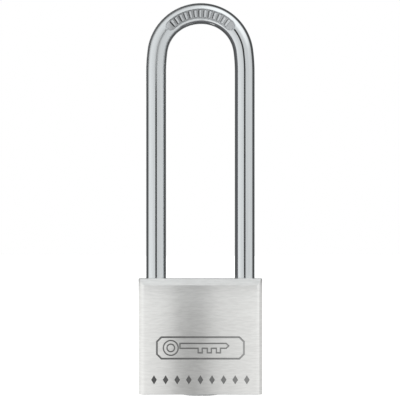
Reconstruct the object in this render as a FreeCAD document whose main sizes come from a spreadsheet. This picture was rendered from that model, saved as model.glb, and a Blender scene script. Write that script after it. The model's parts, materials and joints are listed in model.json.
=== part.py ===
import FreeCAD, Part
import os
import re
import Sketcher

# A small pin-tumbler padlock with a long shackle.
# Z points up, X to the right and the engraved front faces -Y. The origin is under the middle of the
# object, on the face of the cylinder plug, which stands a little proud below the body.
# The plug is drawn turned to its open position, with the bolts drawn in and the shackle pushed home.

SHEET = "Dimensions"

DIMENSIONS = {
    # body
    "body_width": 30, "body_depth": 14, "body_height": 28, "body_bottom": 0.45,
    "upright_radius": 1.5, "bottom_chamfer": 0.15, "side_chamfer": 0.12,
    "bevel_height": 1.6, "bevel_depth": 0.5,
    # shackle
    "rod_diameter": 4.9, "shackle_bore": 5.06, "leg_offset": 10.75,
    "arch_radius": 10.5, "flank_radius": 40, "arch_centre": 82.3,
    "heel_end": 5.7, "toe_end": 19.95, "toe_chamfer": 0.8, "heel_chamfer": 0.3,
    "heel_bore_end": 2, "toe_bore_end": 19.5,
    "neck_radius": 1.3, "neck_bottom": 7.7, "neck_top": 19.6,
    "notch_bottom": 21.75, "notch_top": 24.95, "notch_depth": 1.7,
    "stamp_radius": 10.35, "stamp_width": 2.5, "stamp_floor": 1.75, "stamp_half_angle": 44,
    "rib_length": 1.7, "rib_width": 0.55, "rib_height": 0.3, "rib_half_angle": 39, "rib_count": 13,
    # cylinder
    "plug_diameter": 8.5, "plug_bore": 8.56, "plug_top": 17.8, "plug_bore_end": 18,
    "plug_face": 2.9, "plug_rim": 0.2, "keyway_width": 1.2, "keyway_front": 3.3, "keyway_back": 2.5,
    "keyway_end": 14.3, "ward_width": 0.55, "ward_front": 1.1, "ward_back": 2.2,
    "groove_bottom": 15.15, "groove_top": 16.85, "groove_radius": 3.45,
    "cam_diameter": 6, "cam_bore": 6.2, "cam_top": 21, "crank_offset": 0.8, "crank_diameter": 1,
    "crank_top": 23.3,
    # pins
    "pin_count": 4, "first_pin": 4, "pin_pitch": 3, "chamber_diameter": 2.6, "pin_diameter": 2.5,
    "pin_chamfer": 0.3, "pin_hole_end": 0.3, "key_pin_outer": 4.05, "driver_inner": 4.33, "driver_outer": 7.5,
    "spring_outer": 12.6, "pin_spring_diameter": 2.2, "pin_spring_wire": 0.28, "pin_spring_pitch": 0.62,
    # latch bolts
    "latch_height": 23.35, "channel_diameter": 5, "bolt_diameter": 4.8, "bolt_flat": 21.2,
    "nose_length": 1.9, "nose_half_height": 1.4, "nose_slope": 0.8, "toe_reach": 8.2, "heel_reach": 7.8,
    "tail_end": 2.6, "tail_root": 3, "tail_gap": 0.15, "slot_width": 1.24, "slot_end": 1.9,
    "latch_spring_offset": 1.2, "latch_pocket": 1.9, "latch_pocket_end": 6.8,
    "latch_spring_diameter": 1.6, "latch_spring_wire": 0.24, "latch_spring_pitch": 0.6,
    # closing pieces
    "closing_chamfer": 0.12, "counterbore_diameter": 5.4, "counterbore_floor": 13.3,
    "cylinder_pin_height": 16, "cylinder_pin_diameter": 1.5, "cylinder_pin_inner": 3.6,
    "shackle_pin_height": 18.3, "shackle_pin_diameter": 2, "shackle_pin_inner": 12.4,
    "lift_spring_diameter": 4.4, "lift_spring_wire": 0.5, "lift_spring_pitch": 1,
    # engraving on the front
    "engraving_depth": 0.2, "frame_centre": 11.75, "frame_width": 21.4, "frame_height": 5.6,
    "frame_corner": 1.2, "frame_line": 0.42, "key_line": 0.32, "key_ring": 3.9, "key_eye": 1.5,
    "key_gap": 0.1, "key_blade": 1.5, "key_blade_rise": 0.5, "key_length": 12.6, "key_tooth": 1.1,
    "tooth_width": 1.3, "tooth_pitch": 2.2,
    "key_shift": 0.85, "tooth_count": 3,
    "row_centre": 4.05, "mark_pitch": 2.8, "mark_width": 1.35, "mark_height": 2.2, "mark_count": 9,
    # how far a cutting outline runs past the solid, and the gap that keeps two outlines apart in a sketch
    "overshoot": 1, "outline_gap": 0.001,
}

TOLERANCE = 0.01            # for picking edges by where they lie

# Length of each key pin, from the plug's face inwards, as the key's cuts set them.
KEY_PIN_LENGTHS = (2.6, 3.3, 2.2, 2.9)

doc = FreeCAD.newDocument("Padlock")


def make_sheet():
    """Put every driving dimension in the spreadsheet, under its own name."""
    sheet = doc.addObject("Spreadsheet::Sheet", SHEET)
    values = dict(DIMENSIONS)
    for number, length in enumerate(KEY_PIN_LENGTHS, 1):
        values[f"key_pin_length_{number}"] = length
    for row, (name, value) in enumerate(values.items(), 1):
        sheet.set(f"A{row}", name)
        sheet.set(f"B{row}", str(value))
        sheet.setAlias(f"B{row}", name)
    doc.recompute()


def cells(text):
    """Turn the plain names in an expression into the sheet's cells."""
    return re.sub(r"\b[a-z]\w*\b(?!\()", SHEET + r".\g<0>", text)


def bind(thing, prop, text):
    thing.setExpression(prop, cells(text))


def new_body(name):
    body = doc.addObject("PartDesign::Body", name)
    body.Label = name
    return body


def new_sketch(body, name, role, origin=("0", "0", "0")):
    """A sketch on one of the body's planes, with its own origin moved along the sketch's axes."""
    plane = next(item for item in body.Origin.OriginFeatures if item.Role == role)
    sketch = body.newObject("Sketcher::SketchObject", name)
    sketch.AttachmentSupport = [(plane, "")]
    sketch.MapMode = "FlatFace"
    for axis, text in zip("xyz", origin):
        bind(sketch, f".AttachmentOffset.Base.{axis}", text)
    return sketch


def pin_point(sketch, edge, end, x, y):
    """Hold one end (or the centre, end 3) of an edge at the expressions x and y."""
    for kind, text in (("DistanceX", x), ("DistanceY", y)):
        index = sketch.addConstraint(Sketcher.Constraint(kind, -1, 1, edge, end, float(value(sketch, text))))
        bind(sketch, f"Constraints[{index}]", text)


def value(thing, text):
    return thing.evalExpression(cells(text))


def outline(sketch, corners):
    """A closed outline with straight sides between corners given as pairs of expressions."""
    points = [FreeCAD.Vector(value(sketch, x), value(sketch, y), 0) for x, y in corners]
    edges = []
    for start, end in zip(points, points[1:] + points[:1]):
        edges.append(sketch.addGeometry(Part.LineSegment(start, end), False))
    for edge, following in zip(edges, edges[1:] + edges[:1]):
        sketch.addConstraint(Sketcher.Constraint("Coincident", edge, 2, following, 1))
    for edge, (x, y) in zip(edges, corners):
        pin_point(sketch, edge, 1, x, y)


def rectangle(sketch, left, bottom, right, top):
    outline(sketch, [(left, bottom), (right, bottom), (right, top), (left, top)])


def circle(sketch, x, y, diameter):
    centre = FreeCAD.Vector(value(sketch, x), value(sketch, y), 0)
    size = value(sketch, diameter)
    edge = sketch.addGeometry(Part.Circle(centre, FreeCAD.Vector(0, 0, 1), size / 2), False)
    pin_point(sketch, edge, 3, x, y)
    index = sketch.addConstraint(Sketcher.Constraint("Diameter", edge, size))
    bind(sketch, f"Constraints[{index}]", diameter)


def pad(body, sketch, length, backwards=False):
    feature = body.newObject("PartDesign::Pad", "Pad")
    feature.Profile = sketch
    feature.Reversed = backwards
    bind(feature, "Length", length)
    return feature


def pocket(body, sketch, depth, backwards=False, both_ways=False):
    feature = body.newObject("PartDesign::Pocket", "Pocket")
    feature.Profile = sketch
    feature.Reversed = backwards
    feature.Midplane = both_ways
    bind(feature, "Length", depth)
    return feature


def turned(body, sketch, kind="PartDesign::Revolution"):
    """Turn the sketch about its own vertical axis: a solid, or a groove in what is there."""
    feature = body.newObject(kind, "Turned")
    feature.Profile = sketch
    feature.ReferenceAxis = (sketch, ["V_Axis"])
    feature.Angle = 360
    return feature


def turned_piece(name, corners):
    """A turned piece along its own Z axis, from a profile of radius and height."""
    body = new_body(name)
    sketch = new_sketch(body, "Profile", "XZ_Plane")
    outline(sketch, corners)
    turned(body, sketch)
    return body


def helical_spring(name, length, diameter, wire, pitch):
    """A round-wire spring along its own Z axis, starting at zero."""
    body = new_body(name)
    section = new_sketch(body, "Wire", "XZ_Plane")
    circle(section, f"({diameter} - {wire}) / 2", f"{wire} / 2", wire)
    coil = body.newObject("PartDesign::AdditiveHelix", "Coil")
    coil.Profile = section
    coil.ReferenceAxis = (section, ["V_Axis"])
    coil.Mode = "pitch-height-angle"
    bind(coil, "Pitch", pitch)
    bind(coil, "Height", f"{length} - {wire}")
    return body


def place(body, x="0", y="0", z="0", axis=None, angle=0):
    """Turn a body about an axis through its own origin, then move that origin."""
    if axis:
        body.Placement = FreeCAD.Placement(FreeCAD.Vector(), FreeCAD.Rotation(axis, angle))
    for name, text in (("x", x), ("y", y), ("z", z)):
        bind(body, f".Placement.Base.{name}", text)


def edges_where(feature, test):
    """Names of the feature's edges that pass a test on their bounding box."""
    return [f"Edge{number}" for number, edge in enumerate(feature.Shape.Edges, 1) if test(edge.BoundBox)]


# The body ------------------------------------------------------------------------------------------

def make_block(body):
    """The block itself: rounded uprights, bevelled top front and back, small chamfers elsewhere."""
    plan = new_sketch(body, "Plan", "XY_Plane", ("0", "0", "body_bottom"))
    rectangle(plan, "-body_width / 2", "-body_depth / 2", "body_width / 2", "body_depth / 2")
    block = pad(body, plan, "body_height")
    doc.recompute()
    low = float(value(body, "body_bottom"))
    height = float(value(body, "body_height"))

    uprights = body.newObject("PartDesign::Fillet", "Uprights")
    uprights.Base = (block, edges_where(block, lambda box: box.ZLength > height - TOLERANCE))
    bind(uprights, "Radius", "upright_radius")

    bevels = new_sketch(body, "Bevels", "YZ_Plane")
    top = "body_bottom + body_height"
    for side in ("-1", "1"):
        outline(bevels, [
            (f"{side} * (body_depth / 2)", f"{top} - bevel_height"),
            (f"{side} * (body_depth / 2 + overshoot)", f"{top} - bevel_height"),
            (f"{side} * (body_depth / 2 + overshoot)", f"{top} + overshoot"),
            (f"{side} * (body_depth / 2 - bevel_depth * (1 + overshoot / bevel_height))",
             f"{top} + overshoot"),
        ])
    cut = pocket(body, bevels, "2 * body_width", both_ways=True)
    doc.recompute()

    chamfer = body.newObject("PartDesign::Chamfer", "BottomChamfer")
    chamfer.Base = (cut, edges_where(cut, lambda box: box.ZMax < low + TOLERANCE))
    bind(chamfer, "Size", "bottom_chamfer")

    sides = new_sketch(body, "SideChamfers", "XZ_Plane")
    for side in ("-1", "1"):
        outline(sides, [
            (f"{side} * body_width / 2", f"{top} - side_chamfer"),
            (f"{side} * (body_width / 2 + overshoot)", f"{top} - side_chamfer"),
            (f"{side} * (body_width / 2 + overshoot)", f"{top} + overshoot"),
            (f"{side} * (body_width / 2 - side_chamfer - overshoot)", f"{top} + overshoot"),
        ])
    pocket(body, sides, "2 * body_depth", both_ways=True)


def bore_body(body):
    """Every hole in the block: shackle bores, cylinder bore, latch channel and pin chambers."""
    top = "body_bottom + body_height"
    for side, floor in (("-1", "heel_bore_end"), ("1", "toe_bore_end")):
        bore = new_sketch(body, "ShackleBore", "XY_Plane", ("0", "0", top))
        circle(bore, f"{side} * leg_offset", "0", "shackle_bore")
        pocket(body, bore, f"{top} - {floor}")

    for diameter, end in (("plug_bore", "plug_bore_end"), ("cam_bore", "latch_height")):
        bore = new_sketch(body, "CylinderBore", "XY_Plane")
        circle(bore, "0", "0", diameter)
        pocket(body, bore, end, backwards=True)

    channel = new_sketch(body, "LatchChannel", "YZ_Plane", ("0", "0", "body_width / 2"))
    circle(channel, "0", "latch_height", "channel_diameter")
    pocket(body, channel, "body_width / 2 + leg_offset")
    counterbore = new_sketch(body, "Counterbore", "YZ_Plane", ("0", "0", "body_width / 2"))
    circle(counterbore, "0", "latch_height", "counterbore_diameter")
    pocket(body, counterbore, "body_width / 2 - counterbore_floor")

    chambers = new_sketch(body, "PinChambers", "YZ_Plane", ("0", "0", "body_width / 2"))
    for number in range(DIMENSIONS["pin_count"]):
        circle(chambers, "0", f"first_pin + {number} * pin_pitch", "chamber_diameter")
    pocket(body, chambers, "body_width / 2")

    retainer = new_sketch(body, "CylinderPinHole", "YZ_Plane", ("0", "0", "body_width / 2"))
    circle(retainer, "0", "cylinder_pin_height", "cylinder_pin_diameter")
    pocket(body, retainer, "body_width / 2")
    retainer = new_sketch(body, "ShacklePinHole", "YZ_Plane", ("0", "0", "-body_width / 2"))
    circle(retainer, "0", "shackle_pin_height", "shackle_pin_diameter")
    pocket(body, retainer, "body_width / 2 - leg_offset", backwards=True)


def key_blade_corners(start, inset):
    """The key's blade with its teeth along the lower edge, moved inwards by the inset all round."""
    high = f"(frame_centre + key_blade_rise + key_blade / 2 - {inset})"
    low = f"(frame_centre + key_blade_rise - key_blade / 2 + {inset})"
    corners = [(f"{start} + {inset}", low)]
    for tooth in range(DIMENSIONS["tooth_count"]):
        after = f"(tooth_count - 1 - {tooth})"
        left = f"(key_length / 2 - {after} * tooth_pitch - 2 * tooth_width + {inset})"
        right = f"({left} + tooth_width - 2 * {inset})"
        corners += [(left, low), (left, f"{low} - key_tooth"), (right, f"{low} - key_tooth"), (right, low)]
    tip = f"(key_length / 2 - (sqrt(2) - 1) * {inset})"
    corners += [(tip, low), (f"{tip} + key_blade / 2 - {inset}", "frame_centre + key_blade_rise"), (tip, high)]
    return corners + [(f"{start} + {inset}", high)]


def engrave_body(body):
    """A plain plate outline with a key in it, and a row of lozenges, cut shallow into the front."""
    face = ("0", "0", "body_depth / 2")
    frame = new_sketch(body, "PlateOutline", "XZ_Plane", face)
    for inset in ("0", "frame_line"):
        x = f"(frame_width / 2 - {inset})"
        z = f"(frame_height / 2 - {inset})"
        cut = f"(frame_corner - (2 - sqrt(2)) * {inset})"
        outline(frame, [
            (f"-{x} + {cut}", f"frame_centre - {z}"), (f"{x} - {cut}", f"frame_centre - {z}"),
            (f"{x}", f"frame_centre - {z} + {cut}"), (f"{x}", f"frame_centre + {z} - {cut}"),
            (f"{x} - {cut}", f"frame_centre + {z}"), (f"-{x} + {cut}", f"frame_centre + {z}"),
            (f"-{x}", f"frame_centre + {z} - {cut}"), (f"-{x}", f"frame_centre - {z} + {cut}"),
        ])
    pocket(body, frame, "engraving_depth")

    key = new_sketch(body, "KeyOutline", "XZ_Plane", face)
    bow = "(-key_length / 2 - key_shift)"
    for diameter in ("key_ring", "key_ring - 2 * key_line", "key_eye + 2 * key_line", "key_eye"):
        circle(key, bow, "frame_centre", diameter)
    for inset in ("0", "key_line"):
        outline(key, key_blade_corners(f"({bow} + key_ring / 2 + key_gap)", inset))
    pocket(body, key, "engraving_depth")

    row = new_sketch(body, "LozengeRow", "XZ_Plane", face)
    for number in range(DIMENSIONS["mark_count"]):
        x = f"({number} - (mark_count - 1) / 2) * mark_pitch"
        outline(row, [
            (f"{x} - mark_width / 2", "row_centre"), (x, "row_centre - mark_height / 2"),
            (f"{x} + mark_width / 2", "row_centre"), (x, "row_centre + mark_height / 2"),
        ])
    pocket(body, row, "engraving_depth")


def make_lock_body():
    body = new_body("lock_body")
    make_block(body)
    bore_body(body)
    engrave_body(body)


# The shackle ---------------------------------------------------------------------------------------

def shackle_path(body):
    """Centre line of the rod: two legs, two long flank arcs and the arch, all tangent in turn."""
    half = float(value(body, "leg_offset"))
    arch = float(value(body, "arch_radius"))
    flank = float(value(body, "flank_radius"))
    centre = float(value(body, "arch_centre"))
    drop = ((flank - arch) ** 2 - (flank - half) ** 2) ** 0.5
    across = (flank - half) / (flank - arch) * arch
    rise = drop / (flank - arch) * arch

    path = new_sketch(body, "Path", "XZ_Plane")
    up = FreeCAD.Vector(0, 0, 1)
    heel = FreeCAD.Vector(-half, value(body, "heel_end"), 0)
    toe = FreeCAD.Vector(half, value(body, "toe_end"), 0)
    left_start = FreeCAD.Vector(-half, centre - drop, 0)
    left_join = FreeCAD.Vector(-across, centre + rise, 0)
    right_join = FreeCAD.Vector(across, centre + rise, 0)
    right_start = FreeCAD.Vector(half, centre - drop, 0)

    def arc(middle, radius, start, end):
        """Anticlockwise arc about a middle point, from the first point to the second."""
        round_edge = Part.Circle(middle, up, radius)
        return path.addGeometry(
            Part.ArcOfCircle(round_edge, round_edge.parameter(start), round_edge.parameter(end)), False)

    toe_leg = path.addGeometry(Part.LineSegment(toe, right_start), False)
    toe_flank = arc(FreeCAD.Vector(half - flank, centre - drop, 0), flank, right_start, right_join)
    crown = arc(FreeCAD.Vector(0, centre, 0), arch, right_join, left_join)
    heel_flank = arc(FreeCAD.Vector(flank - half, centre - drop, 0), flank, left_join, left_start)
    heel_leg = path.addGeometry(Part.LineSegment(left_start, heel), False)

    run = [toe_leg, toe_flank, crown, heel_flank, heel_leg]
    for edge, following in zip(run, run[1:]):
        path.addConstraint(Sketcher.Constraint("Tangent", edge, 2, following, 1))
    for edge, radius in ((toe_flank, "flank_radius"), (crown, "arch_radius"), (heel_flank, "flank_radius")):
        size = float(value(body, radius))
        index = path.addConstraint(Sketcher.Constraint("Radius", edge, size))
        bind(path, f"Constraints[{index}]", radius)
    pin_point(path, toe_leg, 1, "leg_offset", "toe_end")
    pin_point(path, heel_leg, 2, "-leg_offset", "heel_end")
    pin_point(path, crown, 3, "0", "arch_centre")
    return path


def cut_legs(body):
    """Toe point, heel collar, turned neck and the two notches that the latch bolts enter."""
    toe = new_sketch(body, "ToePoint", "XZ_Plane", ("leg_offset", "0", "0"))
    radius = "rod_diameter / 2"
    outline(toe, [
        (f"{radius} - toe_chamfer", "toe_end"), (f"{radius} - toe_chamfer", "toe_end - overshoot"),
        (f"{radius} + overshoot", "toe_end - overshoot"), (f"{radius} + overshoot", "toe_end + toe_chamfer"),
        (radius, "toe_end + toe_chamfer"),
    ])
    turned(body, toe, "PartDesign::Groove")

    heel = new_sketch(body, "HeelNeck", "XZ_Plane", ("-leg_offset", "0", "0"))
    outline(heel, [
        (f"{radius} - heel_chamfer", "heel_end"), (f"{radius} - heel_chamfer", "heel_end - overshoot"),
        (f"{radius} + overshoot", "heel_end - overshoot"),
        (f"{radius} + overshoot", "heel_end + heel_chamfer"),
        (radius, "heel_end + heel_chamfer"),
    ])
    rectangle(heel, "neck_radius", "neck_bottom", f"{radius} + overshoot", "neck_top")
    turned(body, heel, "PartDesign::Groove")

    notches = new_sketch(body, "Notches", "XZ_Plane")
    for side in ("-1", "1"):
        rectangle(notches, f"{side} * (leg_offset - rod_diameter)", "notch_bottom",
                  f"{side} * (leg_offset - {radius} + notch_depth)", "notch_top")
    pocket(body, notches, "2 * rod_diameter", both_ways=True)


def stamp_arch(body):
    """A sunken band along the front of the arch, with round ends and a row of raised ribs in it."""
    band = new_sketch(body, "StampBand", "YZ_Plane", ("0", "arch_centre", "0"))
    rectangle(band, "-rod_diameter", "stamp_radius - stamp_width / 2",
              "-stamp_floor", "stamp_radius + stamp_width / 2")
    groove = body.newObject("PartDesign::Groove", "Band")
    groove.Profile = band
    groove.ReferenceAxis = (band, ["H_Axis"])
    groove.Midplane = True
    bind(groove, "Angle", "2 * stamp_half_angle")

    ends = new_sketch(body, "StampEnds", "XZ_Plane", ("0", "arch_centre", "rod_diameter"))
    for side in ("-1", "1"):
        circle(ends, f"{side} * stamp_radius * sin(stamp_half_angle)",
               "stamp_radius * cos(stamp_half_angle)", "stamp_width")
    pocket(body, ends, "rod_diameter - stamp_floor")

    rib = new_sketch(body, "Rib", "XZ_Plane", ("0", "arch_centre", "stamp_floor"))
    rib.AttachmentOffset = FreeCAD.Placement(rib.AttachmentOffset.Base,
                                             FreeCAD.Rotation(FreeCAD.Vector(0, 0, 1), 1))
    bind(rib, ".AttachmentOffset.Rotation.Angle", "-rib_half_angle")
    rectangle(rib, "-rib_width / 2", "stamp_radius - rib_length / 2",
              "rib_width / 2", "stamp_radius + rib_length / 2")
    raised = pad(body, rib, "rib_height")
    doc.recompute()
    ribs = body.newObject("PartDesign::PolarPattern", "Ribs")
    ribs.Originals = [raised]
    ribs.Axis = (rib, ["N_Axis"])
    bind(ribs, "Angle", "2 * rib_half_angle")
    bind(ribs, "Occurrences", "rib_count")
    body.Tip = ribs


def make_shackle():
    body = new_body("shackle")
    path = shackle_path(body)
    section = new_sketch(body, "Section", "XY_Plane", ("0", "0", "toe_end"))
    circle(section, "leg_offset", "0", "rod_diameter")
    doc.recompute()
    rod = body.newObject("PartDesign::AdditivePipe", "Rod")
    rod.Profile = section
    rod.Spine = (path, [f"Edge{number}" for number in range(1, len(path.Shape.Edges) + 1)])
    cut_legs(body)
    stamp_arch(body)


# The cylinder and its pins -------------------------------------------------------------------------

def make_cylinder_plug():
    """The turned plug: raised face, retaining groove, warded keyway and holes for the key pins."""
    radius = "plug_diameter / 2"
    body = turned_piece("cylinder_plug", [
        ("0", "0"), ("plug_face", "0"), (radius, "plug_rim"),
        (radius, "groove_bottom"), ("groove_radius", "groove_bottom"),
        ("groove_radius", "groove_top"), (radius, "groove_top"), (radius, "plug_top"), ("0", "plug_top"),
    ])
    keyway = new_sketch(body, "Keyway", "XY_Plane")
    half = "keyway_width / 2"
    outline(keyway, [
        (f"-{half}", "-keyway_front"), (half, "-keyway_front"), (half, "-ward_front"),
        (f"{half} - ward_width", "-ward_front"), (f"{half} - ward_width", "0"), (half, "0"),
        (half, "keyway_back"), (f"-{half}", "keyway_back"), (f"-{half}", "ward_back - keyway_width"),
        (f"ward_width - {half}", "ward_back - keyway_width"), (f"ward_width - {half}", "-ward_back"),
        (f"-{half}", "-ward_back"),
    ])
    pocket(body, keyway, "keyway_end", backwards=True)
    holes = new_sketch(body, "PinHoles", "XZ_Plane", ("0", "0", f"-{radius}"))
    for number in range(DIMENSIONS["pin_count"]):
        circle(holes, "0", f"first_pin + {number} * pin_pitch", "chamber_diameter")
    pocket(body, holes, f"{radius} - pin_hole_end", backwards=True)


def make_cam():
    """The driver on top of the plug: a disc with two crank pins that move the latch bolts."""
    body = new_body("cam")
    disc = new_sketch(body, "Disc", "XY_Plane", ("0", "0", "plug_top"))
    circle(disc, "0", "0", "cam_diameter")
    pad(body, disc, "cam_top - plug_top")
    cranks = new_sketch(body, "CrankPins", "XY_Plane", ("0", "0", "cam_top"))
    circle(cranks, "-crank_offset", "crank_offset", "crank_diameter")
    circle(cranks, "crank_offset", "-crank_offset", "crank_diameter")
    pad(body, cranks, "crank_top - cam_top")


def pin_profile(length):
    radius = "pin_diameter / 2"
    return [
        ("0", "0"), (f"{radius} - pin_chamfer", "0"), (radius, "pin_chamfer"),
        (radius, f"{length} - pin_chamfer"), (f"{radius} - pin_chamfer", length), ("0", length),
    ]


def make_cross_pin(name, diameter, length, x, height, angle):
    """A round piece along X, from x outwards to the side of the body, with a chamfer at the side."""
    body = turned_piece(name, [
        ("0", "0"), (f"{diameter} / 2", "0"), (f"{diameter} / 2", f"{length} - closing_chamfer"),
        (f"{diameter} / 2 - closing_chamfer", length), ("0", length),
    ])
    place(body, x=x, z=height, axis=FreeCAD.Vector(0, 1, 0), angle=angle)


def make_pin_stacks():
    """Four stacks: a key pin in the plug, then a driver pin, a spring and a chamber plug in the body."""
    along_y = FreeCAD.Vector(1, 0, 0)
    along_x = FreeCAD.Vector(0, 1, 0)
    for number in range(1, DIMENSIONS["pin_count"] + 1):
        height = f"first_pin + {number - 1} * pin_pitch"
        length = f"key_pin_length_{number}"
        key_pin = turned_piece(f"key_pin_{number}", pin_profile(length))
        place(key_pin, y=f"key_pin_outer - {length}", z=height, axis=along_y, angle=-90)
        driver = turned_piece(f"driver_pin_{number}", pin_profile("(driver_outer - driver_inner)"))
        place(driver, x="driver_inner", z=height, axis=along_x, angle=90)
        spring = helical_spring(f"pin_spring_{number}", "(spring_outer - driver_outer)",
                                "pin_spring_diameter", "pin_spring_wire", "pin_spring_pitch")
        place(spring, x="driver_outer", z=height, axis=along_x, angle=90)
        make_cross_pin(f"chamber_plug_{number}", "chamber_diameter", "(body_width / 2 - spring_outer)",
                       "spring_outer", height, 90)


# The latch bolts -----------------------------------------------------------------------------------

def make_latch_bolt(name, reach, half_turn):
    """A round bolt with a milled flat below, a nose for the notch and half a tail beside the cranks."""
    body = new_body(name)
    section = new_sketch(body, "Section", "YZ_Plane", ("0", "0", "-tail_end"))
    circle(section, "0", "latch_height", "bolt_diameter")
    pad(body, section, f"tail_end + {reach}")

    side = new_sketch(body, "Nose", "XZ_Plane")
    beyond = f"{reach} + overshoot"
    rectangle(side, "-tail_end - overshoot", "latch_height - bolt_diameter", beyond, "bolt_flat")
    outline(side, [
        (f"{reach} - nose_length", "latch_height + nose_half_height"),
        (f"{reach} - nose_slope", "latch_height + nose_half_height"),
        (beyond, "latch_height + nose_half_height - nose_slope - overshoot"),
        (beyond, "latch_height + bolt_diameter"),
        (f"{reach} - nose_length", "latch_height + bolt_diameter"),
    ])
    pocket(body, side, "2 * bolt_diameter", both_ways=True)
    under = new_sketch(body, "UnderNose", "XZ_Plane")
    rectangle(under, f"{reach} - nose_length", "bolt_flat - overshoot", beyond,
              "latch_height - nose_half_height")
    pocket(body, under, "2 * bolt_diameter", both_ways=True)

    tail = new_sketch(body, "Tail", "XY_Plane", ("0", "0", "latch_height"))
    rectangle(tail, "-tail_end - overshoot", "-bolt_diameter", "tail_root", "tail_gap")
    rectangle(tail, "-crank_offset - slot_width / 2", "tail_gap + outline_gap",
              "-crank_offset + slot_width / 2", "slot_end")
    pocket(body, tail, "2 * bolt_diameter", both_ways=True)

    seat = new_sketch(body, "SpringSeat", "YZ_Plane", ("0", "0", "tail_root"))
    circle(seat, "-latch_spring_offset", "latch_height", "latch_pocket")
    pocket(body, seat, "latch_pocket_end - tail_root", backwards=True)
    if half_turn:
        place(body, axis=FreeCAD.Vector(0, 0, 1), angle=180)


def make_latch():
    """Both bolts, each with the spring that pushes it outwards off the other bolt's tail."""
    along_x = FreeCAD.Vector(0, 1, 0)
    for end, reach, sign, half_turn in (("toe", "toe_reach", 1, False), ("heel", "heel_reach", -1, True)):
        make_latch_bolt(f"latch_bolt_{end}", reach, half_turn)
        spring = helical_spring(f"latch_spring_{end}", "(latch_pocket_end - tail_root)",
                                "latch_spring_diameter", "latch_spring_wire", "latch_spring_pitch")
        place(spring, x=f"{sign} * tail_root", y=f"{-sign} * latch_spring_offset", z="latch_height",
              axis=along_x, angle=90 * sign)


# Springs, retaining pins and the closing plug ------------------------------------------------------

def make_shackle_spring():
    spring = helical_spring("shackle_spring", "(heel_end - heel_bore_end)", "lift_spring_diameter",
                            "lift_spring_wire", "lift_spring_pitch")
    place(spring, x="-leg_offset", z="heel_bore_end")


def make_fixings():
    make_cross_pin("cylinder_retaining_pin", "cylinder_pin_diameter", "(body_width / 2 - cylinder_pin_inner)",
                   "cylinder_pin_inner", "cylinder_pin_height", 90)
    make_cross_pin("shackle_retaining_pin", "shackle_pin_diameter", "(body_width / 2 - shackle_pin_inner)",
                   "-shackle_pin_inner", "shackle_pin_height", -90)
    make_cross_pin("cross_bore_plug", "counterbore_diameter", "(body_width / 2 - counterbore_floor)",
                   "counterbore_floor", "latch_height", 90)


# Checking and writing ------------------------------------------------------------------------------

def check_and_write():
    """Stop on any failed feature or shape, then write one file for each piece."""
    for thing in doc.Objects:
        if {"Invalid", "Error"} & set(thing.State):
            raise RuntimeError(f"{thing.Name} ({thing.Label}) failed: {thing.State}")
    os.makedirs("parts", exist_ok=True)
    for body in doc.findObjects("PartDesign::Body"):
        shape = body.Shape
        if shape.isNull() or not shape.isValid() or len(shape.Solids) != 1:
            raise RuntimeError(f"{body.Label} isn't one valid solid")
        shape.exportStep(f"parts/{body.Label}.step")
        print(f"{body.Label:24s} {shape.Volume:9.2f} mm3  {len(shape.Faces)} faces")


make_sheet()
make_lock_body()
make_shackle()
make_cylinder_plug()
make_cam()
make_pin_stacks()
make_latch()
make_shackle_spring()
make_fixings()
doc.recompute()
check_and_write()
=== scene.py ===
import json
import math

import bmesh
import bpy
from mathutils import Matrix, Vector


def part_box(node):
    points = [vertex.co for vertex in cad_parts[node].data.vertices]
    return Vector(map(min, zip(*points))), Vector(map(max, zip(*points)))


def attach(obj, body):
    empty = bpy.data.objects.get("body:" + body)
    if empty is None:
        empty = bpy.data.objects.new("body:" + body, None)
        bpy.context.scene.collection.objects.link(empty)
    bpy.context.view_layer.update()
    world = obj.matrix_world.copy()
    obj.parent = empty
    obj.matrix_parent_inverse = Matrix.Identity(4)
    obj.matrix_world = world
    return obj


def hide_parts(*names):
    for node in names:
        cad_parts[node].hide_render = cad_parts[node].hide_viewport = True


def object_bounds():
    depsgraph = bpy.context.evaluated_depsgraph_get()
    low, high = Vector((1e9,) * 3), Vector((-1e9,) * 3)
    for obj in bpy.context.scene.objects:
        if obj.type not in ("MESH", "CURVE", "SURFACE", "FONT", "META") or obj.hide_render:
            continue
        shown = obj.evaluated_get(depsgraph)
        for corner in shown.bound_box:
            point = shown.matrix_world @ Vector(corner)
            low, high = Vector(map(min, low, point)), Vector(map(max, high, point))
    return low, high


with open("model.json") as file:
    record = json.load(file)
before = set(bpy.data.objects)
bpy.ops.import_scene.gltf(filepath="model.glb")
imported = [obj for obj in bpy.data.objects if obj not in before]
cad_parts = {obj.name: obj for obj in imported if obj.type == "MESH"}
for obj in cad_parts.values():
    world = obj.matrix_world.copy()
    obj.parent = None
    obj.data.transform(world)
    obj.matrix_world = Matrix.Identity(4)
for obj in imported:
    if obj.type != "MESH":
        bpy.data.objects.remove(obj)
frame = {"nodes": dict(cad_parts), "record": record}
CAD_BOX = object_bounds()

# Places, in metres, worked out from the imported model.
LOW, HIGH = CAD_BOX
CENTRE = (LOW + HIGH) / 2
BODY_LOW, BODY_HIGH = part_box("lock_body")
SHACKLE_LOW, SHACKLE_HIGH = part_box("shackle")

# The shackle's rod and its path. Lengths are in metres and heights are above the floor.
ROD = 0.0049                # diameter
ARCH_RADIUS = 0.0105
FLANK_RADIUS = 0.040
LEG_OFFSET = SHACKLE_HIGH.x - ROD / 2
ARCH_CENTRE = SHACKLE_HIGH.z - ROD / 2 - ARCH_RADIUS

WHITE = (1.0, 1.0, 1.0, 1.0)


# Shader nodes --------------------------------------------------------------------------------------

def feed(tree, socket, value):
    """Link a socket to another node's output, or set its value."""
    if isinstance(value, bpy.types.NodeSocket):
        tree.links.new(value, socket)
    else:
        socket.default_value = value


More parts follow.
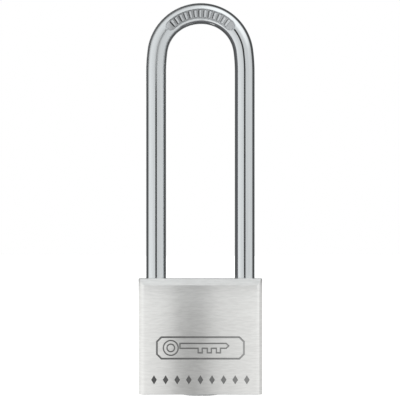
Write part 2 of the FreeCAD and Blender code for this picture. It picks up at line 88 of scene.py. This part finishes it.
def add_node(tree, kind, inputs=None, output=0, **settings):
    """Add a node with its settings and inputs, and hand back one of its outputs."""
    node = tree.nodes.new("ShaderNode" + kind)
    for name, value in settings.items():
        setattr(node, name, value)
    for name, value in (inputs or {}).items():
        feed(tree, node.inputs[name], value)
    return node.outputs[output] if node.outputs else None


def maths(tree, operation, *values):
    return add_node(tree, "Math", dict(enumerate(values)), operation=operation)


def vectors(tree, operation, *values):
    output = "Value" if operation == "DOT_PRODUCT" else "Vector"
    return add_node(tree, "VectorMath", dict(enumerate(values)), output, operation=operation)


def remap(tree, value, start, end, low=0.0, high=1.0, kind="LINEAR"):
    """Take start to end onto low to high, and hold it there beyond both ends."""
    inputs = {"Value": value, "From Min": start, "From Max": end, "To Min": low, "To Max": high}
    return add_node(tree, "MapRange", inputs, interpolation_type=kind)


def mix(tree, kind, factor, first, second):
    """Mix two numbers, vectors or colours."""
    node = tree.nodes.new("ShaderNodeMix")
    node.data_type = kind
    sockets = [socket for socket in node.inputs if socket.enabled]
    for socket, value in zip(sockets, (factor, first, second)):
        feed(tree, socket, value)
    return next(socket for socket in node.outputs if socket.enabled)


def ramp(tree, factor, stops, kind="LINEAR"):
    """A colour ramp through pairs of position and colour."""
    node = tree.nodes.new("ShaderNodeValToRGB")
    node.color_ramp.interpolation = kind
    elements = node.color_ramp.elements
    while len(elements) < len(stops):
        elements.new(1.0)
    for element, (position, colour) in zip(elements, stops):
        element.position = position
        element.color = (*colour, 1.0)
    feed(tree, node.inputs["Fac"], factor)
    return node.outputs["Color"]


def noise(tree, place, scale, detail):
    return add_node(tree, "TexNoise", {"Vector": place, "Scale": scale, "Detail": detail}, "Fac")


def object_place(tree):
    return add_node(tree, "TexCoord", output="Object")


def separate(tree, place):
    """The three parts of a vector."""
    return add_node(tree, "SeparateXYZ", {0: place}).node.outputs


def shaded(factors, colour):
    """Ramp stops of one colour, from pairs of position and how bright it is there."""
    return [(position, [factor * part for part in colour]) for position, factor in factors]


def new_material(name):
    """A material, its node tree and its shader."""
    material = bpy.data.materials.new(name)
    material.use_nodes = True
    return material, material.node_tree, material.node_tree.nodes["Principled BSDF"]


def bare_material(name):
    """A material with an empty node tree."""
    material, tree, _ = new_material(name)
    tree.nodes.clear()
    return material, tree


# Camera and stage ----------------------------------------------------------------------------------

CAMERA_DISTANCE = 1.2
VIEW_SPAN = 0.0971          # what the square picture takes in at the middle of the object
CAMERA_HEIGHT = 0.04745
CAMERA_SHIFT = 0.0001       # how far left of the middle it stands
CLIP_START, CLIP_END = 0.01, 20.0
SENSOR = 36.0               # in millimetres


def add_camera():
    """Level, straight in front, far away, as a long lens sees a small product."""
    data = bpy.data.cameras.new("camera")
    data.sensor_width = SENSOR
    data.lens = SENSOR * CAMERA_DISTANCE / VIEW_SPAN
    data.clip_start = CLIP_START
    data.clip_end = CLIP_END
    camera = bpy.data.objects.new("camera", data)
    camera.location = (CENTRE.x - CAMERA_SHIFT, CENTRE.y - CAMERA_DISTANCE, CAMERA_HEIGHT)
    camera.rotation_euler = (math.radians(90.0), 0.0, 0.0)
    bpy.context.scene.collection.objects.link(camera)
    bpy.context.scene.camera = camera


FLOOR_HALF = 3.0
FLOOR_TONE = 0.9
FLOOR_ROUGHNESS = 0.9
FLOOR_GLOW = 0.9


def add_floor():
    """A plain pale floor, bright enough to run into the white behind it."""
    mesh = bpy.data.meshes.new("floor")
    sides = ((-1, -1), (1, -1), (1, 1), (-1, 1))
    corners = [(FLOOR_HALF * across, FLOOR_HALF * deep, LOW.z) for across, deep in sides]
    mesh.from_pydata(corners, [], [(0, 1, 2, 3)])
    floor = bpy.data.objects.new("floor", mesh)
    bpy.context.scene.collection.objects.link(floor)
    material, _, shader = new_material("floor")
    shader.inputs["Base Color"].default_value = (FLOOR_TONE, FLOOR_TONE, FLOOR_TONE, 1.0)
    shader.inputs["Roughness"].default_value = FLOOR_ROUGHNESS
    shader.inputs["Emission Color"].default_value = WHITE
    shader.inputs["Emission Strength"].default_value = FLOOR_GLOW
    mesh.materials.append(material)
    floor.visible_glossy = False


# The studio's light, as seen from the object: radiance against the angle from straight in front, in degrees.
# A dark hole round the lens, a wide bright tent, a dark gap behind the tent's edge and a bright back wall.
TENT = ((0, 0.05), (8.5, 0.05), (10.5, 0.74), (60, 0.86), (91, 0.84), (102, 0.10), (150, 0.10), (158, 1.0))
TENT_TINT = (0.975, 0.995, 1.0)
LEFT_GAIN = 0.10            # how much brighter the tent is at the left than in the middle
CORNER_LAMP = (0.55, -0.35, 0.76)               # towards a stronger lamp behind the tent, up at the right
CORNER_START, CORNER_FULL = 0.68, 0.98          # cosines of the angles where it begins and is full
CORNER_GAIN = 0.5


def add_world():
    """White where the camera looks past the object, and a soft light tent for everything else."""
    world = bpy.data.worlds.new("studio")
    world.use_nodes = True
    bpy.context.scene.world = world
    tree = world.node_tree
    tree.nodes.clear()
    direction = add_node(tree, "TexCoord", output="Generated")
    front = vectors(tree, "DOT_PRODUCT", direction, (0.0, -1.0, 0.0))
    turn = maths(tree, "DIVIDE", maths(tree, "ARCCOSINE", front), math.pi)
    stops = [(degrees / 180.0, [level * part for part in TENT_TINT]) for degrees, level in TENT]
    side = vectors(tree, "DOT_PRODUCT", direction, (-LEFT_GAIN, 0.0, 0.0))
    corner = vectors(tree, "DOT_PRODUCT", direction, CORNER_LAMP)
    lamp = remap(tree, corner, CORNER_START, CORNER_FULL, 0.0, CORNER_GAIN, "SMOOTHSTEP")
    strength = maths(tree, "ADD", maths(tree, "ADD", side, 1.0), lamp)
    tent = add_node(tree, "Background", {"Color": ramp(tree, turn, stops), "Strength": strength})
    seen = add_node(tree, "Background", {"Color": WHITE})
    camera_ray = add_node(tree, "LightPath", output="Is Camera Ray")
    light = add_node(tree, "MixShader", {0: camera_ray, 1: tent, 2: seen})
    add_node(tree, "OutputWorld", {"Surface": light})


# Cards ---------------------------------------------------------------------------------------------

def add_card(name, sides, material):
    """A card that only reflections see: it lights or darkens the metal, and the camera looks past it.

    It is a strip between two sides, given as the ends of each line across it."""
    mesh = bpy.data.meshes.new(name)
    corners = [corner for ends in sides for corner in ends]
    starts = range(0, len(corners) - 2, 2)
    mesh.from_pydata(corners, [], [(start, start + 1, start + 3, start + 2) for start in starts])
    mesh.materials.append(material)
    card = bpy.data.objects.new(name, mesh)
    bpy.context.scene.collection.objects.link(card)
    card.visible_camera = False


CARD_TOP = BODY_HIGH.z - 0.001
CARD_BOTTOM = LOW.z - 0.03
CARD_TINT = (1.0, 1.0, 0.99)
CARD_RISE = 0.009           # the front card grows brighter over this much below its top
CARD_TOP_GAIN = 0.15
SIDE_CARD_TOP = BODY_HIGH.z - 0.0006
FRONT_CARD_AWAY, SIDE_CARD_AWAY = 0.022, 0.008  # from the body

# Glow of the card in front of the body, across its width: a dim stripe a little left of the middle.
FRONT_CARD = ((-0.06, 1.15), (-0.017, 1.0), (-0.0085, 0.82), (-0.0045, 0.43), (-0.0003, 0.43),
              (0.0047, 0.78), (0.016, 0.94), (0.06, 1.05))
LEFT_CARD = ((-0.012, 0.98), (0.03, 0.98))      # and of the cards close to its sides, from front to back
RIGHT_CARD = ((-0.012, 0.74), (0.03, 0.74))


def glowing_card(name, axis, levels, top_gain=0.0):
    """Card material whose glow changes along one axis: pairs of place in metres and radiance."""
    material, tree = bare_material(name)
    place = separate(tree, object_place(tree))
    low, high = levels[0][0], levels[-1][0]
    stops = [((where - low) / (high - low), [level * part for part in CARD_TINT]) for where, level in levels]
    colour = ramp(tree, remap(tree, place[axis], low, high), stops, "EASE")
    rise = remap(tree, place[2], CARD_TOP - CARD_RISE, CARD_TOP, 1.0, 1.0 + top_gain)
    glow = add_node(tree, "Emission", {"Color": colour, "Strength": rise})
    add_node(tree, "OutputMaterial", {"Surface": glow})
    return material


def add_cards():
    """Cards low down round the body, where the rod can't see them.

    One stands across the front, and one close to each side."""
    front = BODY_LOW.y - FRONT_CARD_AWAY
    left, right = FRONT_CARD[0][0], FRONT_CARD[-1][0]
    sides = [((left, front, height), (right, front, height)) for height in (CARD_BOTTOM, CARD_TOP)]
    add_card("front_card", sides, glowing_card("front_card", 0, FRONT_CARD, CARD_TOP_GAIN))
    for name, beside, levels in (("left_card", BODY_LOW.x - SIDE_CARD_AWAY, LEFT_CARD),
                                 ("right_card", BODY_HIGH.x + SIDE_CARD_AWAY, RIGHT_CARD)):
        near, far = levels[0][0], levels[-1][0]
        sides = [((beside, near, height), (beside, far, height)) for height in (CARD_BOTTOM, SIDE_CARD_TOP)]
        add_card(name, sides, glowing_card(name, 1, levels))


LOOP_CARD_X = 0.0073        # a dark card inside the loop that only the right leg and the arch see
LOOP_CARD_END = math.radians(125)               # how far round the arch it goes
LOOP_CARD_STEP = math.radians(5)
LOOP_CARD_FRONT, LOOP_CARD_BACK = -0.00201, -0.0011
LOOP_CARD_COLOUR = (0.16, 0.16, 0.17, 1.0)


def add_loop_card():
    """Widens the dark inner edge of the right leg and the arch.

    The card is dark on its outer face and clear on the other."""
    material, tree = bare_material("black_card")
    back = add_node(tree, "NewGeometry", output="Backfacing")
    dark = add_node(tree, "Emission", {"Color": LOOP_CARD_COLOUR})
    clear = add_node(tree, "BsdfTransparent")
    surface = add_node(tree, "MixShader", {0: back, 1: dark, 2: clear})
    add_node(tree, "OutputMaterial", {"Surface": surface})
    path = [(LOOP_CARD_X, BODY_HIGH.z)]
    path += [(LOOP_CARD_X * math.cos(angle), ARCH_CENTRE + LOOP_CARD_X * math.sin(angle))
             for angle in steps(0.0, LOOP_CARD_END, LOOP_CARD_STEP)]
    sides = [((across, LOOP_CARD_FRONT, height), (across, LOOP_CARD_BACK, height)) for across, height in path]
    add_card("black_card", sides, material)


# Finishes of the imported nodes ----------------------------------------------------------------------

# The engraving on the front: its floor and walls, as a middle and a half size on each axis.
ENGRAVING = ((0.0, 0.0120), (BODY_LOW.y + 0.00019, 0.00015), (0.0085, 0.0073))
# The engraving's floors are painted dark: partly its own dark mark, partly painted shade that the grooves
# would hold.
ENGRAVED_MARK_AND_SHADE_TONES = ((-0.011, 0.16), (0.011, 0.42))    # from left to right, as pairs of X and grey
ENGRAVED_ROUGHNESS = 0.6
PLATE_BOTTOM = 0.0075       # the lines of the plate, above this height, are lighter than the marks under it
PLATE_LIGHTER = 0.10


def paint_engraving_mark_and_shade(tree, shader, place):
    """Floors of the engraving painted dark, a little lighter towards the right: partly the engraving's own
    dark mark, partly painted shade in the grooves.
    """
    parts = separate(tree, place)
    mask = None
    for part, (middle, reach) in zip(parts, ENGRAVING):
        near = maths(tree, "COMPARE", part, middle, reach)
        mask = near if mask is None else maths(tree, "MULTIPLY", mask, near)
    (left, left_tone), (right, right_tone) = ENGRAVED_MARK_AND_SHADE_TONES
    tone = remap(tree, parts[0], left, right, left_tone, right_tone)
    on_plate = maths(tree, "GREATER_THAN", parts[2], PLATE_BOTTOM)
    tone = maths(tree, "MULTIPLY_ADD", on_plate, PLATE_LIGHTER, tone)
    for name, kind, value in (("Base Color", "RGBA", tone), ("Roughness", "FLOAT", ENGRAVED_ROUGHNESS)):
        plain = shader.inputs[name].links[0].from_socket
        feed(tree, shader.inputs[name], mix(tree, kind, mask, plain, value))


BRUSH_SCALE = (520.0, 520.0, 3400.0)            # brush marks: their length, and their closeness up the body
BRUSH_DETAIL = 4.0
BRUSH_TONES = ((0.35, 0.92), (0.65, 1.01))
BRUSH_UNEVEN = 0.05         # how much the roughness changes between marks, each way
BRUSH_BUMP, BRUSH_DEPTH = 0.12, 0.00002
BRUSH_STRETCH, BRUSH_TURN = 0.8, 0.25           # how far highlights are drawn out, and which way
SWAY_SCALE, SWAY_DETAIL = 70.0, 1.0             # the marks wander up and down this finely
SWAY = 0.0022               # and this far
LEVEL_FACE = 0.7            # a face whose normal is steeper than this counts as a top or a bottom


def brushed_metal(name, colour, roughness, engraved=False):
    """Satin metal with fine level brush marks all round, and along X on the top and the bottom."""
    material, tree, shader = new_material(name)
    shader.inputs["Metallic"].default_value = 1.0
    shader.inputs["Anisotropic"].default_value = BRUSH_STRETCH
    shader.inputs["Anisotropic Rotation"].default_value = BRUSH_TURN
    place = object_place(tree)
    normal = add_node(tree, "NewGeometry", output="Normal")
    upward = maths(tree, "ABSOLUTE", vectors(tree, "DOT_PRODUCT", normal, (0.0, 0.0, 1.0)))
    level = maths(tree, "GREATER_THAN", upward, LEVEL_FACE)

    sway = noise(tree, place, SWAY_SCALE, SWAY_DETAIL)
    drift = vectors(tree, "MULTIPLY_ADD", sway, (0.0, 0.0, SWAY), place)
    depth = maths(tree, "MULTIPLY", level, separate(tree, place)[1])
    shift = add_node(tree, "CombineXYZ", {2: depth})
    moved = vectors(tree, "ADD", drift, shift)
    stretched = add_node(tree, "Mapping", {"Vector": moved, "Scale": BRUSH_SCALE})
    streaks = noise(tree, stretched, 1.0, BRUSH_DETAIL)

    feed(tree, shader.inputs["Base Color"], ramp(tree, streaks, shaded(BRUSH_TONES, colour)))
    rough = remap(tree, streaks, 0.0, 1.0, roughness - BRUSH_UNEVEN, roughness + BRUSH_UNEVEN)
    feed(tree, shader.inputs["Roughness"], rough)
    bump = add_node(tree, "Bump", {"Strength": BRUSH_BUMP, "Distance": BRUSH_DEPTH, "Height": streaks})
    feed(tree, shader.inputs["Normal"], bump)
    round_z = add_node(tree, "Tangent", direction_type="RADIAL", axis="Z")
    feed(tree, shader.inputs["Tangent"], mix(tree, "VECTOR", level, round_z, (1.0, 0.0, 0.0)))
    if engraved:
        paint_engraving_mark_and_shade(tree, shader, place)
    return material


POLISH_SCALE, POLISH_DETAIL = 900.0, 5.0
POLISH_UNEVEN = 0.3         # how much the roughness changes, as a part of it, each way


def plated_metal(name, colour, roughness):
    """Bright plating with faint polishing marks."""
    material, tree, shader = new_material(name)
    shader.inputs["Metallic"].default_value = 1.0
    shader.inputs["Base Color"].default_value = (*colour, 1.0)
    cloud = noise(tree, object_place(tree), POLISH_SCALE, POLISH_DETAIL)
    smoother, rougher = roughness * (1.0 - POLISH_UNEVEN), roughness * (1.0 + POLISH_UNEVEN)
    feed(tree, shader.inputs["Roughness"], remap(tree, cloud, 0.0, 1.0, smoother, rougher))
    return material


def finish_parts():
    """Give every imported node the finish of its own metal."""
    finishes = {
        "body": brushed_metal("brushed_aluminium", (0.86, 0.86, 0.85), 0.32, engraved=True),
        "closing": brushed_metal("ground_aluminium", (0.76, 0.76, 0.75), 0.35),
        "shackle": plated_metal("bright_plating", (0.78, 0.80, 0.81), 0.10),
        # The plug's plating is painted far darker than nickel: painted shade on the plug's face low under the
        # body.
        "cylinder": plated_metal("nickel_plating_with_painted_shade", (0.25, 0.25, 0.25), 0.25),
        "pin": plated_metal("turned_brass", (0.78, 0.62, 0.32), 0.25),
        "spring": plated_metal("spring_wire", (0.60, 0.60, 0.60), 0.3),
        "latch": plated_metal("machined_steel", (0.55, 0.55, 0.56), 0.3),
    }
    slots = {part["node"]: part["material_slot"] for part in frame["record"]["subparts"]}
    for name, node in frame["nodes"].items():
        node.data.materials.clear()
        node.data.materials.append(finishes[slots[name]])


# The shackle ---------------------------------------------------------------------------------------

TOE_END = 0.01995
TOE_CHAMFER, HEEL_CHAMFER = 0.0008, 0.0003
HEEL_END = SHACKLE_LOW.z
NECK_RADIUS, NECK_BOTTOM, NECK_TOP = 0.0013, 0.0077, 0.0196
NOTCH_BOTTOM, NOTCH_TOP, NOTCH_DEPTH = 0.02175, 0.02495, 0.0017

CROWN_SWELL = 0.00012       # the stamping spreads the top of the arch this much each way
CROWN_REACH = math.radians(65)
CROWN_PUSH = 0.00012        # and pushes it in, most a little left of the top
PUSH_MIDDLE = math.radians(105)
PUSH_REACH = math.radians(60)

STAMP_RADIUS = 0.01035
STAMP_HALF_WIDTH = 0.00125
STAMP_HALF_ANGLE = math.radians(44)
STAMP_FLOOR = 0.00178       # distance of the sunken floor from the middle of the rod
STAMP_WALL, STAMP_OUTER_WALL = 0.00014, 0.0003  # widths of the sloping wall round it
RIB_COUNT = 13
RIB_HALF_ANGLE = math.radians(39)
RIB_HALF_WIDTH, RIB_HALF_LENGTH, RIB_HEIGHT, RIB_EDGE = 0.000275, 0.00085, 0.0003, 0.00012

# Spacing of the mesh: along the legs, round the bends, in the stamped part, and round the rod.
LEG_STEP = 0.002
BEND_STEP, STAMP_STEP = math.radians(1.2), math.radians(0.42)
STAMP_MARGIN = math.radians(10)                 # the fine part goes this far past the stamp
FRONT_STEP, BACK_STEP = math.radians(1.35), math.radians(4.5)
FRONT_START, FRONT_END = math.radians(35), math.radians(145)
SAME_PLACE = 1e-7
SHARP_EDGE = math.radians(40)

# Where a face of the rod lies, in the order of the mesh's materials.
# SHADE is the painted shadow on the left of each rib.
PLAIN, SUNKEN, RIB, SHADE = range(4)
SUNKEN_FROM, SHADE_FROM = 0.6, 0.5              # what the face's corners must say of it, on average


def smooth(value):
    """0 below zero, 1 above one, and an S between."""
    value = min(1.0, max(0.0, value))
    return value * value * (3.0 - 2.0 * value)


def steps(start, end, spacing):
    """Evenly spaced values from start to end, about spacing apart."""
    count = max(1, round(abs(end - start) / spacing))
    return [start + (end - start) * index / count for index in range(count + 1)]


def leg_stations(side, profile):
    """Rings up one leg: middle, outward direction, size, swell and notch depth."""
    outward = Vector((side, 0.0, 0.0))
    return [(Vector((side * LEG_OFFSET, 0.0, height)), outward, radius, 0.0, notch)
            for height, radius, notch in profile]


def arc_stations(middle, radius, start, end, spacing):
    """Rings along an arc in the plane of the loop, by angle from +X."""
    stations = []
    for angle in steps(start, end, spacing)[1:]:
        outward = Vector((math.cos(angle), 0.0, math.sin(angle)))
        swell = CROWN_SWELL * smooth(1.0 - abs(math.pi / 2 - angle) / CROWN_REACH)
        push = CROWN_PUSH * smooth(1.0 - abs(PUSH_MIDDLE - angle) / PUSH_REACH)
        stations.append((middle + (radius - push) * outward, outward, ROD / 2, swell, 0.0))
    return stations


def rod_stations():
    """All rings from the toe, up the right leg, over the arch and down to the heel."""
    radius = ROD / 2
    drop = math.sqrt((FLANK_RADIUS - ARCH_RADIUS) ** 2 - (FLANK_RADIUS - LEG_OFFSET) ** 2)
    turn = math.asin(drop / (FLANK_RADIUS - ARCH_RADIUS))
    straight = ARCH_CENTRE - drop
    toe = [(TOE_END, radius - TOE_CHAMFER, 0.0), (TOE_END + TOE_CHAMFER, radius, 0.0)]
    heel = [(HEEL_END, radius - HEEL_CHAMFER, 0.0), (HEEL_END + HEEL_CHAMFER, radius, 0.0),
            (NECK_BOTTOM, radius, 0.0), (NECK_BOTTOM, NECK_RADIUS, 0.0),
            (NECK_TOP, NECK_RADIUS, 0.0), (NECK_TOP, radius, 0.0)]
    leg = [(NOTCH_BOTTOM, radius, 0.0), (NOTCH_BOTTOM, radius, NOTCH_DEPTH),
           (NOTCH_TOP, radius, NOTCH_DEPTH), (NOTCH_TOP, radius, 0.0)]
    leg += [(height, radius, 0.0) for height in steps(NOTCH_TOP, straight, LEG_STEP)[1:]]
    top = math.pi / 2
    zone = STAMP_HALF_ANGLE + STAMP_MARGIN
    crown = Vector((0.0, 0.0, ARCH_CENTRE))
    right = Vector((LEG_OFFSET - FLANK_RADIUS, 0.0, straight))
    left = Vector((FLANK_RADIUS - LEG_OFFSET, 0.0, straight))
    stations = leg_stations(1, toe + leg)
    stations += arc_stations(right, FLANK_RADIUS, 0.0, turn, BEND_STEP / 4)
    stations += arc_stations(crown, ARCH_RADIUS, turn, top - zone, BEND_STEP)
    stations += arc_stations(crown, ARCH_RADIUS, top - zone, top + zone, STAMP_STEP)
    stations += arc_stations(crown, ARCH_RADIUS, top + zone, math.pi - turn, BEND_STEP)
    stations += arc_stations(left, FLANK_RADIUS, math.pi - turn, math.pi, BEND_STEP / 4)
    return stations + leg_stations(-1, (heel + leg)[::-1])[1:]


def around_angles():
    """Angles round the rod from the outer side, closer together across the front."""
    front = steps(FRONT_START, FRONT_END, FRONT_STEP)
    back = steps(FRONT_END, FRONT_START + math.tau, BACK_STEP)
    return front + back[1:-1]


def stamp_depth(place):
    """Where a point lies in the stamp, as three numbers.

    How far it is sunk, from 0 outside to 1 on the floor, the height of the rib there, and the rib's shade: 1
    on the rib's left side, where its shadow is painted, and 0 elsewhere."""
    across = math.hypot(place.x, place.z - ARCH_CENTRE)
    angle = math.atan2(place.x, place.z - ARCH_CENTRE)
    beyond = max(0.0, abs(angle) - STAMP_HALF_ANGLE) * STAMP_RADIUS
    inside = STAMP_HALF_WIDTH - math.hypot(across - STAMP_RADIUS, beyond)
    wall = STAMP_OUTER_WALL if across > STAMP_RADIUS else STAMP_WALL
    pitch = 2 * RIB_HALF_ANGLE / (RIB_COUNT - 1)
    nearest = round(angle / pitch)
    if abs(nearest) > RIB_COUNT // 2:
        return smooth(inside / wall), 0.0, 0.0
    along = (angle - nearest * pitch) * STAMP_RADIUS
    edge = min(RIB_HALF_WIDTH - abs(along), RIB_HALF_LENGTH - abs(across - STAMP_RADIUS))
    # Painted shadow: the gap on the left of each rib gets a dark colour that stands in for the rib's shadow.
    shade = float(along < 0.0 and abs(across - STAMP_RADIUS) < RIB_HALF_LENGTH)
    return smooth(inside / wall), RIB_HEIGHT * smooth(edge / RIB_EDGE + 0.5), shade


def rod_ring(station, angles):
    """The points of one ring, flattened where a notch is cut and sunk where the arch is stamped."""
    middle, outward, radius, swell, notch = station
    stamped = middle.z > ARCH_CENTRE and radius == ROD / 2
    points = []
    for angle in angles:
        reach = (radius + swell) * math.cos(angle)
        if notch:
            reach = max(reach, notch - radius)
        point = middle + reach * outward
        point.y = -(radius - swell / 2) * math.sin(angle)
        floor = rib = shade = 0.0
        if stamped and point.y < 0.0:
            floor, rib, shade = stamp_depth(point)
            point.y += floor * max(0.0, -(STAMP_FLOOR + rib) - point.y)
        points.append((point, (floor, rib, shade)))
    return points


def stamp_zone(face, stamps):
    """Where a face lies, from what its corners say of the stamp."""
    corners = len(face)
    floor, rib, shade = (sum(stamps[corner][part] for corner in face) / corners for part in range(3))
    if floor < SUNKEN_FROM:
        return PLAIN
    if rib > RIB_HEIGHT / 2:
        return RIB
    return SHADE if shade > SHADE_FROM else SUNKEN


def merge_doubles(mesh):
    """Join the points that two rings at one place have in common, and drop the empty faces between them."""
    work = bmesh.new()
    work.from_mesh(mesh)
    bmesh.ops.remove_doubles(work, verts=work.verts, dist=SAME_PLACE)
    work.to_mesh(mesh)
    work.free()


def build_shackle():
    """The whole rod as one closed skin, with its length and its turn stored for the polish marks."""
    angles = around_angles()
    stations = rod_stations()
    points, stamps, marks = [], [], []
    length = 0.0
    for index, station in enumerate(stations):
        if index:
            length += (station[0] - stations[index - 1][0]).length
        for angle, (point, stamp) in zip(angles, rod_ring(station, angles)):
            points.append(point)
            stamps.append(stamp)
            marks.append((math.cos(angle), math.sin(angle), length))
    count = len(angles)
    last = (len(stations) - 1) * count
    faces = []
    for ring in range(0, last, count):
        for step in range(count):
            after = (step + 1) % count
            faces.append((ring + step, ring + after, ring + count + after, ring + count + step))
    faces.append(tuple(range(count - 1, -1, -1)))
    faces.append(tuple(range(last, last + count)))
    mesh = bpy.data.meshes.new("shackle_rod")
    mesh.from_pydata(points, [], faces)
    for material in shackle_materials():
        mesh.materials.append(material)
    mesh.polygons.foreach_set("material_index", [stamp_zone(face, stamps) for face in faces])
    rod_place = mesh.attributes.new("rod_place", "FLOAT_VECTOR", "POINT")
    rod_place.data.foreach_set("vector", [number for mark in marks for number in mark])
    mesh.polygons.foreach_set("use_smooth", [True] * len(faces))
    merge_doubles(mesh)
    mesh.set_sharp_from_angle(angle=SHARP_EDGE)
    mesh.validate()
    rod = bpy.data.objects.new("shackle_rod", mesh)
    bpy.context.scene.collection.objects.link(rod)
    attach(rod, "shackle")
    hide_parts("shackle")


# Greys of the stamped part across the arch, as pairs of X and grey. They are painted light and shade: the
# floor is lighter at its left end, darker in the middle and lighter again at the right, the ribs are lighter
# towards the right, and the painted shadow beside each rib is darkest at the left.
SUNKEN_SHADED_GREYS = ((-0.0088, 0.86), (-0.0068, 0.50), (0.0, 0.52), (0.0072, 0.66))
RIB_SHADED_GREYS = ((-0.008, 0.80), (0.008, 0.90))
RIB_SHADOW_GREYS = ((-0.0075, 0.09), (-0.003, 0.20), (0.003, 0.26), (0.0075, 0.40))


def shackle_materials():
    """The plain rod, and the stamp's floor, ribs and the painted shadow on one side of each rib."""
    return (drawn_metal("rod_plating", (0.79, 0.81, 0.82), 0.09),
            struck_and_shaded_metal("stamp_floor", SUNKEN_SHADED_GREYS, 0.6),
            struck_and_shaded_metal("stamp_ribs", RIB_SHADED_GREYS, 0.42),
            struck_and_shaded_metal("stamp_shade", RIB_SHADOW_GREYS, 0.6))


LINE_SCALE = (14.0, 14.0, 90.0)                 # round the rod and along it
LINE_DETAIL = 3.0
LINE_TONES = ((0.3, 0.93), (0.7, 1.02))
DULLNESS = 0.20             # how much rougher the polish is where the left leg bends over
DULL_START, DULL_END = 0.005, -0.006            # where across the arch it begins and is full
DULL_BELOW, DULL_ABOVE = 0.016, 0.002           # and up the leg, from the middle of the arch


def drawn_metal(name, colour, roughness):
    """Bright plating on drawn wire.

    It has faint lines along it, and a duller polish where the left leg bends over."""
    material, tree, shader = new_material(name)
    shader.inputs["Metallic"].default_value = 1.0
    rod_place = add_node(tree, "Attribute", output="Vector", attribute_name="rod_place")
    stretched = add_node(tree, "Mapping", {"Vector": rod_place, "Scale": LINE_SCALE})
    lines = noise(tree, stretched, 1.0, LINE_DETAIL)
    feed(tree, shader.inputs["Base Color"], ramp(tree, lines, shaded(LINE_TONES, colour)))
    place = separate(tree, object_place(tree))
    left = remap(tree, place[0], DULL_START, DULL_END, kind="SMOOTHSTEP")
    bottom, top = ARCH_CENTRE - DULL_BELOW, ARCH_CENTRE + DULL_ABOVE
    height = remap(tree, place[2], bottom, top, kind="SMOOTHSTEP")
    dull = maths(tree, "MULTIPLY", left, height)
    feed(tree, shader.inputs["Roughness"], maths(tree, "MULTIPLY_ADD", dull, DULLNESS, roughness))
    return material


STRUCK_TINT = (1.0, 1.015, 1.03)
GRAIN_SCALE, GRAIN_DETAIL = 6000.0, 2.0
GRAIN_BUMP, GRAIN_DEPTH = 0.5, 0.00004


def struck_and_shaded_metal(name, greys, roughness):
    """The same plating where the stamp struck it: matt and grainy, with painted light and shade graded across
    the arch.
    """
    material, tree, shader = new_material(name)
    shader.inputs["Metallic"].default_value = 1.0
    shader.inputs["Roughness"].default_value = roughness
    place = object_place(tree)
    low, high = greys[0][0], greys[-1][0]
    factors = [((where - low) / (high - low), grey) for where, grey in greys]
    across = remap(tree, separate(tree, place)[0], low, high)
    feed(tree, shader.inputs["Base Color"], ramp(tree, across, shaded(factors, STRUCK_TINT)))
    grain = noise(tree, place, GRAIN_SCALE, GRAIN_DETAIL)
    bump = add_node(tree, "Bump", {"Strength": GRAIN_BUMP, "Distance": GRAIN_DEPTH, "Height": grain})
    feed(tree, shader.inputs["Normal"], bump)
    return material


add_camera()
add_world()
add_floor()
add_cards()
add_loop_card()
finish_parts()
build_shackle()

bpy.context.scene.view_settings.view_transform = "Standard"
